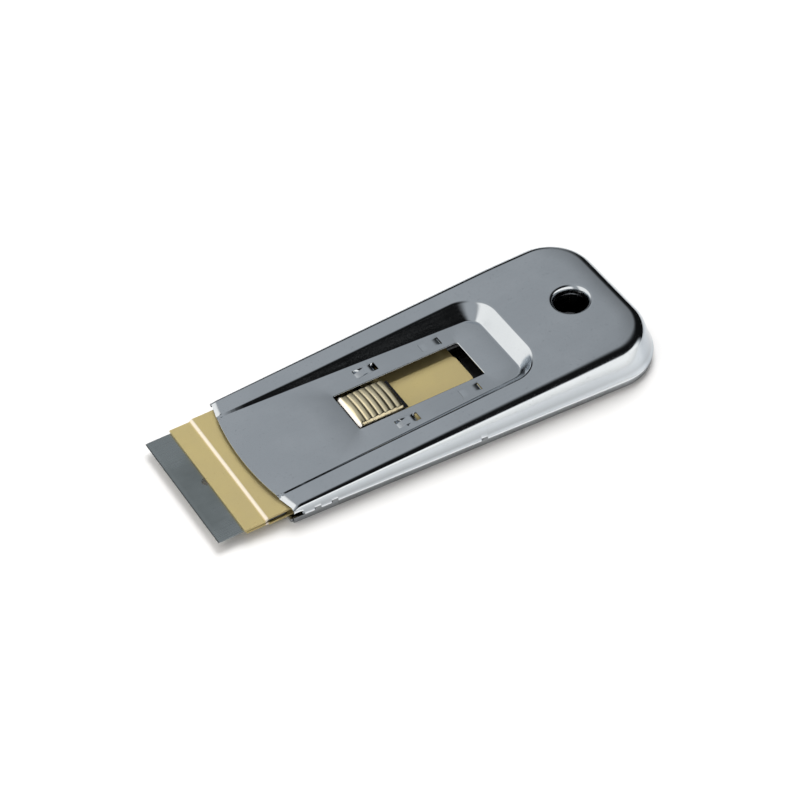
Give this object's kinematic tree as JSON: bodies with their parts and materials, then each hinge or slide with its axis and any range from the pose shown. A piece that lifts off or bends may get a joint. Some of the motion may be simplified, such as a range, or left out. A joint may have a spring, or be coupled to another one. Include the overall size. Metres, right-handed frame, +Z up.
{
  "type": "razor blade scraper",
  "caption": "Retractable scraper in pressed bright steel: wedge casing with a hanging hole, thumb-slide blade carrier and a single-edge razor blade.",
  "frame": {"origin": "centre of the part's box at the underside of the base, with the carrier out", "axes": "+X from the cutting edge to the hanging hole, +Z up out of the thumb slot, +Y across the blade"},
  "size_m": [0.1315, 0.0516, 0.0109],
  "materials": {
    "bright_steel": "bright plated sheet steel",
    "base_steel": "plated sheet steel",
    "gold_plate": "yellow plated steel, satin",
    "pale_gold": "pale yellow plated steel, bright",
    "blade_steel": "rolled blade steel with a ground edge",
    "spring_steel": "blackened spring steel"
  },
  "bodies": {
    "casing": {"top_shell": "bright_steel", "base_shell": "base_steel"},
    "carrier": {"slide_plate": "gold_plate", "clamp_leaf": "gold_plate", "leaf_rivets": "gold_plate", "blade": "blade_steel", "blade_spine": "blade_steel", "lock_spring": "spring_steel", "spring_rivet": "gold_plate"},
    "thumb": {"thumb_button": "pale_gold"}
  },
  "joints": [
    {"name": "carrier_slide", "type": "slide", "parent": "casing", "child": "carrier", "axis": [1, 0, 0], "range_m": [0, 0.0231]},
    {"name": "thumb_press", "type": "slide", "parent": "carrier", "child": "thumb", "axis": [0, 0, -1], "range_m": [0, 0.00085], "stiffness_N_per_m": 1500, "deforming": ["lock_spring"]}
  ]
}
